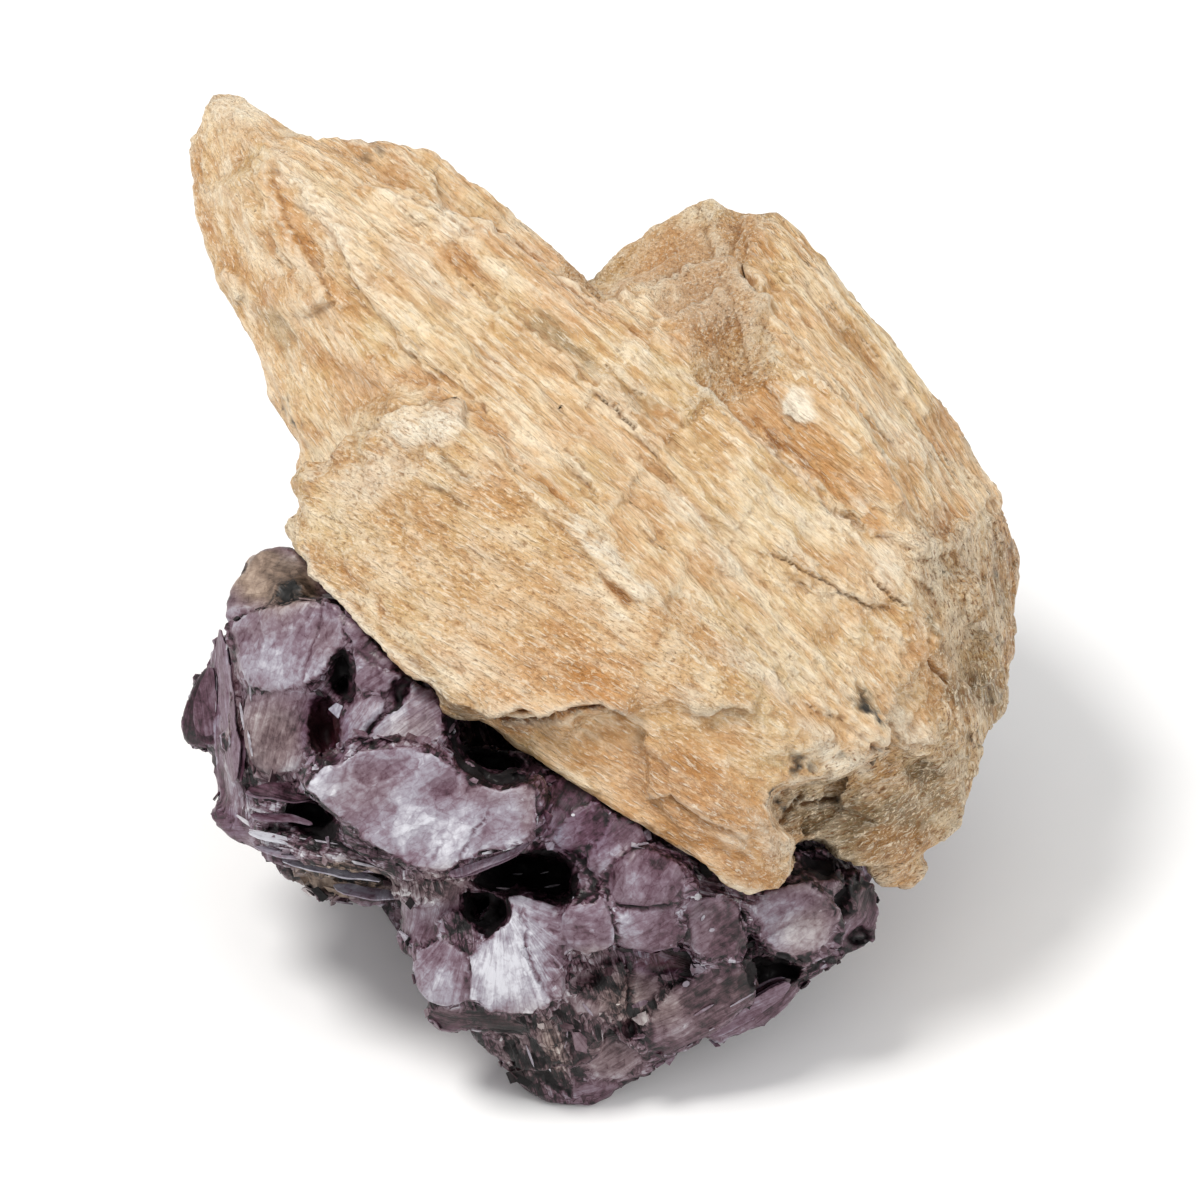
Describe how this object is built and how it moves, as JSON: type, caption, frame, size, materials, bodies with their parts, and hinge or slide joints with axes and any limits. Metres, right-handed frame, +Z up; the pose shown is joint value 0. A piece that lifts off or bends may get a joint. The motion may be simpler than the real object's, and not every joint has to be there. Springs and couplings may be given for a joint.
{
  "type": "lepidolite specimen",
  "caption": "Natural rock specimen: long tan feldspar blades grown across a mass of purple and silver mica plates, with a flat patch underneath to rest on.",
  "frame": {"origin": "middle of the bounding box in X and Y, on the flat resting face at z = 0", "axes": "+Z up from the resting face, -Y towards the side that the picture shows, +X to the right in the picture"},
  "size_m": [0.0766, 0.0714, 0.0689],
  "materials": {
    "feldspar": "satin, fibrous cleavage",
    "mica": "pearly, flaky plates"
  },
  "bodies": {
    "root": {"feldspar_crystals": "feldspar", "lepidolite_mica": "mica"}
  },
  "joints": []
}
